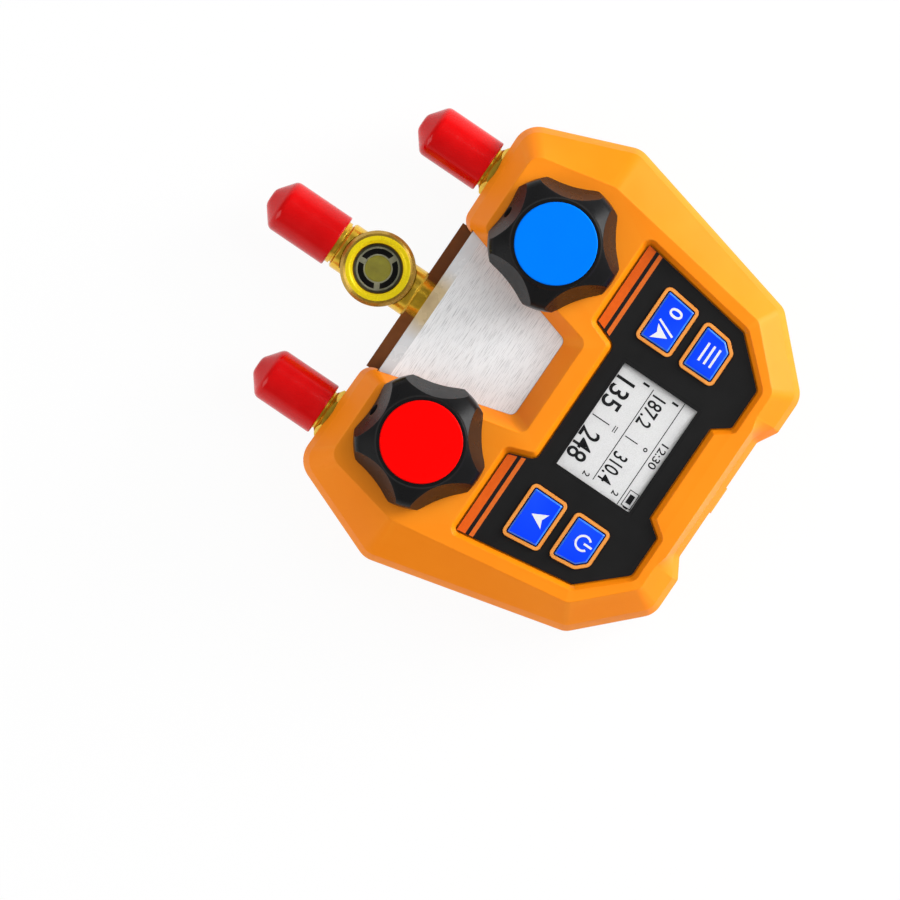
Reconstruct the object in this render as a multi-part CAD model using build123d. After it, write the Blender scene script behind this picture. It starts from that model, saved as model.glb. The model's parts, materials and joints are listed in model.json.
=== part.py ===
from build123d import *
import math
import os

os.makedirs("parts", exist_ok=True)

# A two-valve refrigerant manifold gauge lying on its back. +Z points out of the face, +X to the
# device's right and +Y up the face, so the three ports point along -Y. The origin is on the back
# face, midway between the two valve axes. Lengths are in millimetres.

# Clearances
CLEAR = 0.3  # between casing and metal, and between loose pieces
SLIP = 0.1  # radial, between pieces that are fitted together and stay put
RUN = 0.05  # radial, between pieces that turn or slide in each other

# Heights above the back face
PARTING_Z = 17.0  # joint between the covers, in the plane of the port axes
SIDE_Z = 26.0  # top of the casing's upright side
EDGE_Z = 30.0  # top of the steep strip round the edge
FACE_Z = 38.0  # front face
BACK_EDGE_Z = 3.0  # where the tapered back edge ends
WALL = 2.5

# Casing, right half of the plan outline
CASE_TOP = 96.8
NOTCH_DEPTH = 3.9
NOTCH_HALF = 23.0
NOTCH_SLOPE = 6.7
LOBE_HALF = 43.7
SHOULDER_HALF = 65.2
SHOULDER_Y = 75.3
WIDEST_PAST_BLOCK = 24.5
WIDEST_Y = 5.8
FOOT_PAST_BLOCK = 10.0
CASE_BOTTOM = -31.0
WINDOW_TOP = 19.6
WINDOW_TOP_HALF = 14.6
WINDOW_FOOT = -30.1
WINDOW_FOOT_HALF = 28.9
EDGE_INSET = 2.0
WINDOW_INSET = 0.3
BACK_INSET = 2.5

# Sunk face, with the black plate and the keys
SUNK_TOP = 83.1
SUNK_STEP = 5.8
SUNK_BOTTOM = 25.8
SUNK_HALF = 57.6
SUNK_SHOULDER_HALF = 50.8
SUNK_SHOULDER_Y = 68.4
BRIDGE_TOP = 35.0
BRIDGE_HALF = 23.0
SUNK_DEPTH = 3.0
SUNK_BEVEL = 2.0
SUNK_FLOOR = 2.0
PLATE_THICK = 1.0
RIM_HEIGHT = 1.8
RIM_WIDTH = 1.2
KEY_GAP = 0.45
KEY_PROUD = 0.6
KEY_TRAVEL = 0.8
KEY_FLANGE = 1.0
KEY_INNER_X = 29.4
UPPER_KEY_LOW = 55.9
UPPER_KEY_HIGH = 69.8
LOWER_KEY_LOW = 38.7
LOWER_KEY_HIGH = 52.7

# Display and circuit board
DISPLAY_HALF_X = 20.3
DISPLAY_LOW_Y = 41.3
DISPLAY_HIGH_Y = 70.5
DISPLAY_MARGIN = 2.2
PANE_MARGIN = 0.9
BOARD_MARGIN = 2.6
BOARD_LOW_Y = 33.5
BOARD_THICK = 1.6
MAT_THICK = 0.6
STAND_R = 2.5
BOARD_SCREW_R = 1.1

# Manifold block
BLOCK_HALF = 58.0
BLOCK_TOP = 23.5
BLOCK_BOTTOM = -25.3
BLOCK_BACK = 3.5
BLOCK_THICK = 27.0
BLOCK_BEVEL = 4.1
BLOCK_BEVEL_DROP = 1.6
PORT_FROM_END = 8.9
VALVE_FROM_END = 18.2
PASSAGE_R = 3.0
GALLERY_R = 2.5
RISER_R = 2.0
GALLERY_Z = 9.5
SHANK_R = 5.0
SHANK_LENGTH = 10.0
SEAL_R = 6.6
SEAL_THICK = 1.5
PLUG_R = 4.0
PLUG_LENGTH = 3.0
LIP_HEIGHT = 7.5
LIP_THICK = 4.2

# Ports: 1/4 inch SAE flare ends, 7/16-20 UNF
HEX_FLATS = 15.9
HEX_LENGTH = 7.2
GROOVE_R = 7.1
GROOVE_LENGTH = 0.6
COLLAR_R = 7.75
COLLAR_LENGTH = 4.5
RELIEF_R = 4.7
RELIEF_LENGTH = 1.0
THREAD_R = 5.556
THREAD_LENGTH = 11.0
NOSE_LENGTH = 2.1
PORT_BORE_R = 2.5
CAP_R = 9.3
CAP_LENGTH = 26.8
CAP_END_WALL = 2.2
CAP_CONE = 5.0
CAP_TIP_R = 2.8

# Centre port with the sight glass
NECK_R = 6.75
NECK_LENGTH = 4.0
BODY_R = 8.5
BODY_LENGTH = 29.9
BOSS_R = 12.0
BOSS_TOP_Z = 25.0
BOSS_PROUD = 0.5  # how far the boss stands past the tube's back, and its chamber past the bore
SIGHT_OFFSET = 19.3  # from the block's bottom face to the glass
BEZEL_R = 12.75
BEZEL_TOP_Z = 30.0
BEZEL_SKIRT = 3.0
GLASS_VIEW_R = 8.5
LENS_R = 9.3
LENS_THICK = 3.5
SPIDER_R = 8.1
SPIDER_RIM_R = 6.8
SPIDER_HUB_R = 4.9
SPIDER_THICK = 1.0
SPOKE_WIDTH = 1.9
SPOKE_ANGLES = (30, 155, 275)
SEAL_RING_THICK = 1.2
SIGHT_CHAMBER_R = 7.0

# Valves and knobs
VALVE_BORE_R = 7.0
VALVE_SEAT_Z = 13.5
ORIFICE_R = 2.0
STEM_R = 4.0
TIP_R = 1.8
SEAT_R = 3.6
SEAT_THICK = 2.5
NUT_FLATS = 17.0
NUT_HEIGHT = 6.0
NUT_DEPTH = 8.0
PACKING_R = 5.9
COVER_HOLE_R = 12.0
KNOB_GAP = 2.0  # under the closed knob
KNOB_R = 22.75
KNOB_HEIGHT = 15.0
KNOB_RIM_R = 15.0
KNOB_HUB_R = 8.0
KNOB_BORE_DEPTH = 11.0
KNOB_HOLLOW_R = 14.5
KNOB_HOLLOW_DEPTH = 6.0
SCALLOP_R = 40.0
SCALLOP_FOOT = 20.1
SCALLOP_HEAD = 15.8
SCALLOP_RISE = 13.5
LOBES = 5
DISC_R = 13.9
DISC_THICK = 1.2
SET_SCREW_R = 2.0
SET_SCREW_Z = 3.0

# Pressure sensors
SENSOR_FLATS = 14.0
SENSOR_HEX_LENGTH = 5.0
SENSOR_R = 7.2
SENSOR_LENGTH = 12.0

# Batteries, two AA cells side by side
CELL_R = 7.25
CELL_LENGTH = 50.5
CELL_PITCH = 15.5
CELL_Z = 9.6
CELL_Y = 43.5
CONTACT_SPACE = 3.0
BAY_WALL = 1.5
BAY_ROOF = 17.2
DOOR_THICK = 2.0
DOOR_LEDGE = 2.0
DOOR_EAR_R = 4.0

# Fasteners
CASE_SCREW_R = 1.4
CASE_SCREW_LENGTH = 20.0
CASE_SCREW_HEAD_R = 2.8
CASE_SCREW_HEAD = 2.0
CASE_BOSS_R = 4.5
BLOCK_SCREW_R = 2.0
BLOCK_SCREW_LENGTH = 11.0
BLOCK_SCREW_HEAD_R = 3.5
BLOCK_SCREW_HEAD = 2.0
BLOCK_PAD_R = 5.5
BLOCK_SCREW_X = 22.0
BLOCK_SCREW_Y = 14.0

# Hanging hook, folded into the back
WIRE_R = 1.6
HOOK_Y = 89.9
HOOK_Z = 3.9
HOOK_HALF = 12.0
HOOK_REACH = 24.0
HOOK_TIP_GAP = 12.0
HOOK_BEND_R = 9.0
KNUCKLE_HALF = 5.0
POCKET_ROOF = 2.0

# Heights and places worked out from the sizes above
FLOOR_Z = FACE_Z - SUNK_DEPTH
UNDER_Z = FLOOR_Z - SUNK_FLOOR
PLATE_Z = FLOOR_Z + PLATE_THICK
RIM_Z = FLOOR_Z + RIM_HEIGHT
KEY_TOP_Z = RIM_Z + KEY_PROUD
FLANGE_TOP_Z = UNDER_Z - SLIP
DOME_Z = FLANGE_TOP_Z - KEY_FLANGE - KEY_TRAVEL - 2 * SLIP
MAT_DOME = 0.9
BOARD_Z = DOME_Z - MAT_DOME - MAT_THICK
BLOCK_FRONT = BLOCK_BACK + BLOCK_THICK
PORT_X = BLOCK_HALF - PORT_FROM_END
VALVE_X = BLOCK_HALF - VALVE_FROM_END
WIDEST_HALF = BLOCK_HALF + WIDEST_PAST_BLOCK
FOOT_HALF = BLOCK_HALF + FOOT_PAST_BLOCK
KNOB_Z = FACE_Z + KNOB_GAP
SIGHT_Y = BLOCK_BOTTOM - SIGHT_OFFSET
FLARE_LENGTH = GROOVE_LENGTH + COLLAR_LENGTH + RELIEF_LENGTH + THREAD_LENGTH + NOSE_LENGTH
SIDE_CAP_START = HEX_LENGTH + GROOVE_LENGTH + SLIP
CENTRE_CAP_START = NECK_LENGTH + BODY_LENGTH + GROOVE_LENGTH + 1.3
BAY_HALF_X = CELL_LENGTH / 2 + CONTACT_SPACE
BAY_LOW_Y = CELL_Y - CELL_PITCH / 2 - CELL_R - CLEAR
BAY_HIGH_Y = CELL_Y + CELL_PITCH / 2 + CELL_R + CLEAR
DOOR_EAR_X = BAY_HALF_X + DOOR_LEDGE + 3.3
SIDES = (("low", -1), ("high", 1))

CASE_SCREWS = [
    (LOBE_HALF - 9.7, CASE_TOP - 7.8),
    (WIDEST_HALF - 11.5, WIDEST_Y + 1.7),
    (FOOT_HALF - 4.4, CASE_BOTTOM + 6.5),
]
STANDS = [(SUNK_SHOULDER_HALF - 18.8, SUNK_TOP - 6.6), (BRIDGE_HALF + 2.8, BRIDGE_TOP + 2.5)]

# Corners of the casing: x, y and corner radius, clockwise from the top centre
CASE = [
    (NOTCH_HALF, CASE_TOP - NOTCH_DEPTH, 2.0),
    (NOTCH_HALF + NOTCH_SLOPE, CASE_TOP, 2.0),
    (LOBE_HALF, CASE_TOP, 8.0),
    (SHOULDER_HALF, SHOULDER_Y, 6.0),
    (WIDEST_HALF, WIDEST_Y, 8.0),
    (FOOT_HALF, CASE_BOTTOM, 9.0),
    (WINDOW_FOOT_HALF, WINDOW_FOOT, 5.0),
    (WINDOW_TOP_HALF, WINDOW_TOP, 2.0),
]
# How far the front face lies from each of those corners, and its own corner radius
BEVELS = [
    (2.5, -3.9, 2.0),
    (0.3, -9.0, 2.0),
    (-4.3, -9.0, 4.0),
    (-8.5, -4.8, 4.0),
    (-15.6, 0.2, 6.0),
    (-7.3, 8.3, 5.0),
    (1.7, 7.4, 3.0),
    (3.9, 7.3, 3.5),
]
SUNK = [
    (BRIDGE_HALF - 5.0, SUNK_TOP - SUNK_STEP, 0.8),
    (BRIDGE_HALF - 0.8, SUNK_TOP, 1.0),
    (SUNK_SHOULDER_HALF - 13.6, SUNK_TOP, 2.0),
    (SUNK_SHOULDER_HALF, SUNK_SHOULDER_Y, 2.0),
    (SUNK_HALF, SUNK_BOTTOM, 1.2),
    (BRIDGE_HALF + 3.4, SUNK_BOTTOM, 1.0),
    (BRIDGE_HALF, BRIDGE_TOP, 3.0),
]
UPPER_RIM = [
    (KEY_INNER_X, UPPER_KEY_LOW, 2.0),
    (KEY_INNER_X, UPPER_KEY_HIGH, 2.0),
    (KEY_INNER_X + 13.4, UPPER_KEY_HIGH, 2.5),
    (KEY_INNER_X + 16.9, UPPER_KEY_HIGH - 3.8, 2.5),
    (KEY_INNER_X + 18.1, UPPER_KEY_LOW, 2.0),
]
LOWER_RIM = [
    (KEY_INNER_X, LOWER_KEY_LOW, 2.0),
    (KEY_INNER_X, LOWER_KEY_HIGH, 2.0),
    (KEY_INNER_X + 19.0, LOWER_KEY_HIGH, 2.0),
    (KEY_INNER_X + 20.7, LOWER_KEY_LOW, 2.0),
]


# Helpers


def mirrored(half):
    """Whole outline from its right half."""
    return half + other_hand(half)


def other_hand(points):
    """The same outline on the other side of the centre line, still clockwise."""
    return [(-x, y, r) for x, y, r in reversed(points)]


def inset(points, distance):
    """Clockwise outline with each side moved inwards, or outwards for a negative distance.

    A list of distances gives one for the side that follows each corner.
    """
    steps = distance if isinstance(distance, list) else [distance] * len(points)
    moved = []
    for i, (x, y, radius) in enumerate(points):
        before, after = points[i - 1], points[(i + 1) % len(points)]
        step, next_step = steps[i - 1], steps[i]
        ax, ay = x - before[0], y - before[1]
        bx, by = after[0] - x, after[1] - y
        a_len, b_len = math.hypot(ax, ay), math.hypot(bx, by)
        ax, ay, bx, by = ax / a_len, ay / a_len, bx / b_len, by / b_len
        turn = ax * by - ay * bx
        along = (next_step - step * (ax * bx + ay * by)) / turn
        mean = (step + next_step) / 2
        grow = mean if turn > 0 else -mean
        moved.append((x + step * ay + along * ax, y - step * ax + along * ay,
                      max(radius + grow, 0.3)))
    return moved


def outline(points, z=0.0):
    """Flat face at height z inside the outline, with its corners rounded."""
    corners = [(x, y) for x, y, _ in points]
    edge = FilletPolyline(*corners, radius=[r for *_, r in points], close=True)
    return Pos(0, 0, z) * make_face(edge.edges())


def slab(points, low, high):
    """Upright solid on an outline."""
    return extrude(outline(points, low), high - low)


def tapered(lower, low, upper, high):
    """Solid between two outlines at different heights."""
    return loft([outline(lower, low), outline(upper, high)], ruled=True)


def upright(x, y, low, high, radius):
    """Cylinder along Z."""
    return Pos(x, y, (low + high) / 2) * Cylinder(radius, high - low)


def across(y, z, left, right, radius):
    """Cylinder along X."""
    return Pos((left + right) / 2, y, z) * Rot(0, 90, 0) * Cylinder(radius, right - left)


def lengthwise(x, z, low, high, radius):
    """Cylinder along Y."""
    return Pos(x, (low + high) / 2, z) * Rot(90, 0, 0) * Cylinder(radius, high - low)


def brick(x, y, z):
    """Box between pairs of limits."""
    centre = Pos(sum(x) / 2, sum(y) / 2, sum(z) / 2)
    return centre * Box(x[1] - x[0], y[1] - y[0], z[1] - z[0])


def turned(points):
    """Solid of revolution about Z of a profile given as radius, height and corner radius."""
    corners = [(r, 0, h) for r, h, _ in points]
    edge = FilletPolyline(*corners, radius=[c for *_, c in points], close=True)
    return revolve(make_face(edge.edges()), Axis.Z)


def ring(outer, inner, low, high):
    """Flat ring about Z."""
    return upright(0, 0, low, high, outer) - upright(0, 0, low, high, inner)


def hexagon(flats, low, high, chamfer_rise=0.0):
    """Hexagonal prism about Z, with its upper corners turned off to a shallow cone."""
    prism = Pos(0, 0, low) * extrude(RegularPolygon(flats / 2, 6, major_radius=False), high - low)
    if chamfer_rise:
        corner = flats / math.sqrt(3) + SLIP
        cone = [(0, low, 0), (corner, low, 0), (corner, high - chamfer_rise, 0),
                (flats / 2 - chamfer_rise / 2, high, 0), (0, high, 0)]
        prism &= turned(cone)
    return prism


def screw(radius, length, head_radius, head):
    """Pan-head screw pointing along +Z, with the top of its head at z = 0."""
    return upright(0, 0, 0, head, head_radius) + upright(0, 0, head, head + length, radius)


def port_plane(x):
    """Frame at a port, with its origin on the block's bottom face and +Z along -Y."""
    return Plane(origin=(x, BLOCK_BOTTOM, PARTING_Z), x_dir=(1, 0, 0), z_dir=(0, -1, 0))


def valve_place(side):
    return Pos(side * VALVE_X, 0, 0)


# Casing

FRONT = [(x + dx, y + dy, r) for (x, y, _), (dx, dy, r) in zip(CASE, BEVELS)]
CASE_ALL = mirrored(CASE)
TO_WINDOW = len(CASE) - 2
EDGE_STEPS = [EDGE_INSET] * TO_WINDOW + [WINDOW_INSET] * 3 + [EDGE_INSET] * (TO_WINDOW + 1)
EDGE_ALL = inset(CASE_ALL, EDGE_STEPS)
FRONT_ALL = mirrored(FRONT)
BACK_ALL = inset(CASE_ALL, BACK_INSET)
SUNK_ALL = mirrored(SUNK)
RIMS = [
    ("upper_right", UPPER_RIM),
    ("lower_right", LOWER_RIM),
    ("upper_left", other_hand(UPPER_RIM)),
    ("lower_left", other_hand(LOWER_RIM)),
]


def block_space(low, high):
    """Room for the manifold block inside the covers."""
    half = BLOCK_HALF + CLEAR
    return brick((-half, half), (BLOCK_BOTTOM - CLEAR, BLOCK_TOP + CLEAR), (low, high))


def port_notches():
    """Round openings for the two outer ports, half in each cover."""
    radius = HEX_FLATS / math.sqrt(3) + 2 * CLEAR
    low, high = CASE_BOTTOM - WALL, CASE_BOTTOM + 2 * WALL
    return [lengthwise(side * PORT_X, PARTING_Z, low, high, radius) for _, side in SIDES]


def display_opening(margin, low, high):
    half = DISPLAY_HALF_X + margin
    return brick((-half, half), (DISPLAY_LOW_Y - margin, DISPLAY_HIGH_Y + margin), (low, high))


def front_cover():
    body = slab(CASE_ALL, PARTING_Z, SIDE_Z)
    body += tapered(CASE_ALL, SIDE_Z, EDGE_ALL, EDGE_Z)
    body += tapered(EDGE_ALL, EDGE_Z, FRONT_ALL, FACE_Z)

    hollow = slab(inset(CASE_ALL, WALL), PARTING_Z, SIDE_Z)
    hollow += tapered(inset(CASE_ALL, WALL), SIDE_Z, inset(EDGE_ALL, WALL), EDGE_Z)
    hollow += tapered(inset(EDGE_ALL, WALL), EDGE_Z, inset(FRONT_ALL, WALL), FACE_Z - WALL)
    hollow -= slab(inset(SUNK_ALL, -SUNK_BEVEL - WALL), UNDER_Z, FACE_Z)
    for x, y in CASE_SCREWS:
        for side in (-1, 1):
            hollow -= upright(side * x, y, PARTING_Z, FACE_Z, CASE_BOSS_R)
    for x, y in STANDS:
        for side in (-1, 1):
            hollow -= upright(side * x, y, BOARD_Z, UNDER_Z, STAND_R)

    cover = body - hollow
    wide = inset(SUNK_ALL, -SUNK_BEVEL)
    cover -= tapered(SUNK_ALL, FLOOR_Z, wide, FACE_Z) + slab(wide, FACE_Z, FACE_Z + WALL)
    cover -= display_opening(CLEAR, UNDER_Z - WALL, FLOOR_Z)
    for _, rim in RIMS:
        cover += slab(rim, FLOOR_Z, RIM_Z)
        cover -= slab(inset(rim, RIM_WIDTH), UNDER_Z, RIM_Z)
    for _, side in SIDES:
        cover -= upright(side * VALVE_X, 0, PARTING_Z, FACE_Z, COVER_HOLE_R)
    cover -= block_space(PARTING_Z, BLOCK_FRONT + CLEAR)
    for notch in port_notches():
        cover -= notch
    for x, y in CASE_SCREWS:
        for side in (-1, 1):
            cover -= upright(side * x, y, PARTING_Z, PARTING_Z + CASE_SCREW_LENGTH / 2,
                             CASE_SCREW_R + RUN)
    for x, y in STANDS:
        for side in (-1, 1):
            cover -= upright(side * x, y, BOARD_Z, UNDER_Z - SLIP, BOARD_SCREW_R + RUN)
    return cover


def hook_pocket():
    """Recess for the folded hook, open at the back and at the top edge."""
    half = HOOK_HALF + WIRE_R + 1.4
    low = HOOK_Y - HOOK_REACH - WIRE_R - 1.0
    return (-half, half), (low, CASE_TOP), (0, HOOK_Z + WIRE_R + CLEAR)


def battery_bay():
    """Closed box round the cells, standing on the back wall."""
    x = BAY_HALF_X + DOOR_LEDGE + BAY_WALL
    y = (BAY_LOW_Y - DOOR_LEDGE - BAY_WALL, BAY_HIGH_Y + DOOR_LEDGE + BAY_WALL)
    upper_x, upper_y = BAY_HALF_X + BAY_WALL, (BAY_LOW_Y - BAY_WALL, BAY_HIGH_Y + BAY_WALL)
    foot = brick((-x, x), y, (0, DOOR_THICK + DOOR_LEDGE + SLIP))
    return foot + brick((-upper_x, upper_x), upper_y, (0, BAY_ROOF + BAY_WALL))


def door_plan(gap):
    """Outline solid of the battery door, grown by a gap."""
    x = BAY_HALF_X + DOOR_LEDGE - SLIP + gap
    y = (BAY_LOW_Y - DOOR_LEDGE + SLIP - gap, BAY_HIGH_Y + DOOR_LEDGE - SLIP + gap)
    plate = brick((-x, x), y, (0, DOOR_THICK + gap / 2))
    neck = brick((0, DOOR_EAR_X), (CELL_Y - DOOR_EAR_R - gap, CELL_Y + DOOR_EAR_R + gap),
                 (0, DOOR_THICK + gap / 2))
    return plate + neck + upright(DOOR_EAR_X, CELL_Y, 0, DOOR_THICK + gap / 2, DOOR_EAR_R + gap)


def rear_cover():
    body = tapered(BACK_ALL, 0, CASE_ALL, BACK_EDGE_Z) + slab(CASE_ALL, BACK_EDGE_Z, PARTING_Z)
    lip_low = BLOCK_BOTTOM - CLEAR - LIP_THICK
    body += brick((-WINDOW_FOOT_HALF, WINDOW_FOOT_HALF), (lip_low, BLOCK_TOP), (0, LIP_HEIGHT))

    hollow = slab(inset(CASE_ALL, WALL), WALL, PARTING_Z) + block_space(WALL, PARTING_Z)
    for x, y in CASE_SCREWS:
        for side in (-1, 1):
            hollow -= upright(side * x, y, WALL, PARTING_Z, CASE_BOSS_R)
    for x in (-BLOCK_SCREW_X, BLOCK_SCREW_X):
        for y in (-BLOCK_SCREW_Y, BLOCK_SCREW_Y):
            hollow -= upright(x, y, WALL, BLOCK_BACK, BLOCK_PAD_R)
    hollow -= upright(DOOR_EAR_X, CELL_Y, WALL, PARTING_Z - WALL, DOOR_EAR_R + 1)
    pocket_x, pocket_y, pocket_z = hook_pocket()
    hollow -= brick((pocket_x[0] - WALL, pocket_x[1] + WALL), (pocket_y[0] - WALL, CASE_TOP),
                    (WALL, pocket_z[1] + POCKET_ROOF))
    cover = body - hollow + battery_bay()

    cover -= brick((-BAY_HALF_X, BAY_HALF_X), (BAY_LOW_Y, BAY_HIGH_Y), (0, BAY_ROOF))
    cover -= door_plan(CLEAR)
    cover -= upright(DOOR_EAR_X, CELL_Y, 0, PARTING_Z - 2 * WALL, CASE_SCREW_R + RUN)
    cover -= brick(pocket_x, pocket_y, pocket_z)
    knuckle = across(HOOK_Y, HOOK_Z, -KNUCKLE_HALF, KNUCKLE_HALF, HOOK_Z)
    stalk = brick((-KNUCKLE_HALF, KNUCKLE_HALF), (HOOK_Y - HOOK_Z, HOOK_Y + 1.0),
                  (HOOK_Z, pocket_z[1] + SLIP))
    cover += knuckle + stalk
    cover -= across(HOOK_Y, HOOK_Z, -KNUCKLE_HALF, KNUCKLE_HALF, WIRE_R + RUN)
    for notch in port_notches():
        cover -= notch
    for x, y in CASE_SCREWS:
        for side in (-1, 1):
            cover -= upright(side * x, y, 0, PARTING_Z, CASE_SCREW_R + SLIP)
            cover -= upright(side * x, y, 0, case_screw_seat(), CASE_SCREW_HEAD_R + SLIP)
    for x in (-BLOCK_SCREW_X, BLOCK_SCREW_X):
        for y in (-BLOCK_SCREW_Y, BLOCK_SCREW_Y):
            cover -= upright(x, y, 0, BLOCK_BACK, BLOCK_SCREW_R + SLIP)
            cover -= upright(x, y, 0, BLOCK_SCREW_HEAD + SLIP, BLOCK_SCREW_HEAD_R + SLIP)
    return cover


def case_screw_seat():
    """Height of the step that the case screws' heads bear on."""
    return PARTING_Z - CASE_SCREW_LENGTH / 2


def case_screws():
    place = case_screw_seat() - CASE_SCREW_HEAD
    one = screw(CASE_SCREW_R, CASE_SCREW_LENGTH - 0.5, CASE_SCREW_HEAD_R, CASE_SCREW_HEAD)
    return [Pos(side * x, y, place) * one for x, y in CASE_SCREWS for side in (-1, 1)]


def block_screws():
    one = screw(BLOCK_SCREW_R, BLOCK_SCREW_LENGTH, BLOCK_SCREW_HEAD_R, BLOCK_SCREW_HEAD)
    xs, ys = (-BLOCK_SCREW_X, BLOCK_SCREW_X), (-BLOCK_SCREW_Y, BLOCK_SCREW_Y)
    return [Pos(x, y, SLIP) * one for x in xs for y in ys]


# Face, keys, display and board


def faceplate():
    plate = slab(inset(SUNK_ALL, SLIP), FLOOR_Z, PLATE_Z)
    plate -= display_opening(PANE_MARGIN + SLIP, FLOOR_Z, PLATE_Z)
    for _, rim in RIMS:
        plate -= slab(inset(rim, -SLIP), FLOOR_Z, PLATE_Z)
    return plate


def key(rim):
    """Key cap with a flange that keeps it behind the face."""
    top = inset(rim, RIM_WIDTH + KEY_GAP)
    bead = 0.5
    cap = slab(top, FLANGE_TOP_Z - KEY_FLANGE, KEY_TOP_Z - bead)
    cap += tapered(top, KEY_TOP_Z - bead, inset(top, bead), KEY_TOP_Z)
    return cap + slab(inset(rim, RIM_WIDTH - 2 * KEY_GAP), FLANGE_TOP_Z - KEY_FLANGE, FLANGE_TOP_Z)


def key_mat(side):
    """Rubber sheet with a dome under each of the two keys on one side."""
    low_y, high_y = LOWER_KEY_LOW, UPPER_KEY_HIGH
    half = [
        (KEY_INNER_X - 0.8, low_y, 1.0),
        (KEY_INNER_X - 0.8, high_y, 1.0),
        (UPPER_RIM[2][0], high_y, 2.0),
        (LOWER_RIM[-1][0], low_y, 2.0),
    ]
    mat = slab(half if side > 0 else other_hand(half), BOARD_Z, BOARD_Z + MAT_THICK)
    for y in ((UPPER_KEY_LOW + UPPER_KEY_HIGH) / 2, (LOWER_KEY_LOW + LOWER_KEY_HIGH) / 2):
        x = side * (KEY_INNER_X + 8.8)
        mat += Pos(x, y, BOARD_Z + MAT_THICK + MAT_DOME / 2) * Cone(5.0, 3.5, MAT_DOME)
    return mat


def display_module():
    """Display with a wide frame under the face and its glass standing up into the opening."""
    frame = display_opening(DISPLAY_MARGIN, BOARD_Z, UNDER_Z - SLIP)
    return frame + display_opening(0, BOARD_Z, FLOOR_Z - SLIP)


def display_window():
    """Clear pane on the face, let into the black plate round the display."""
    return display_opening(PANE_MARGIN, FLOOR_Z, PLATE_Z)


def circuit_board():
    half = [
        (SUNK[2][0] - BOARD_MARGIN / 2, SUNK_TOP - BOARD_MARGIN, 1.0),
        (SUNK_SHOULDER_HALF - BOARD_MARGIN, SUNK_SHOULDER_Y - BOARD_MARGIN / 2, 1.0),
        (SUNK_HALF - 1.5 * BOARD_MARGIN, BOARD_LOW_Y, 1.0),
    ]
    board = slab(mirrored(half), BOARD_Z - BOARD_THICK, BOARD_Z)
    for x, y in STANDS:
        for side in (-1, 1):
            board -= upright(side * x, y, BOARD_Z - BOARD_THICK, BOARD_Z, BOARD_SCREW_R + RUN)
    return board


def board_screws():
    one = screw(BOARD_SCREW_R, BOARD_THICK + 2.5, 2 * BOARD_SCREW_R, 1.2)
    return [Pos(side * x, y, BOARD_Z - BOARD_THICK - 1.2) * one for x, y in STANDS for side in (-1, 1)]


# Battery bay


def battery(y):
    """AA cell along X, with its contact stud at one end."""
    stud = across(y, CELL_Z, CELL_LENGTH / 2 - 1.5, CELL_LENGTH / 2, 2.75)
    return across(y, CELL_Z, -CELL_LENGTH / 2, CELL_LENGTH / 2 - 1.5, CELL_R) + stud


def battery_contacts():
    """Bent spring strips at both ends of the cells."""
    strips = []
    for side in (-1, 1):
        wall, tip = side * (BAY_HALF_X - SLIP), side * (CELL_LENGTH / 2 + CLEAR)
        thick = side * 0.4
        profile = [(wall, 3.0), (wall, 15.0), (wall - thick, 15.0), (tip, CELL_Z), (wall - thick, 4.0),
                   (wall - thick, 3.0)]
        face = make_face(Polyline(*[(x, 0, z) for x, z in profile], close=True).edges())
        for row in (-0.5, 0.5):
            strips.append(Pos(0, CELL_Y + row * CELL_PITCH, 0) * extrude(face, 3.0, both=True))
    return strips


def battery_door():
    door = door_plan(0)
    return door - upright(DOOR_EAR_X, CELL_Y, 0, DOOR_THICK, CASE_SCREW_R + SLIP) - upright(
        DOOR_EAR_X, CELL_Y, 0, 1.2, CASE_SCREW_HEAD_R + SLIP)


def battery_door_screw():
    return Pos(DOOR_EAR_X, CELL_Y, 0.1) * screw(CASE_SCREW_R, 8.0, CASE_SCREW_HEAD_R, 1.1)


# Manifold block and what is screwed into it


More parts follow.
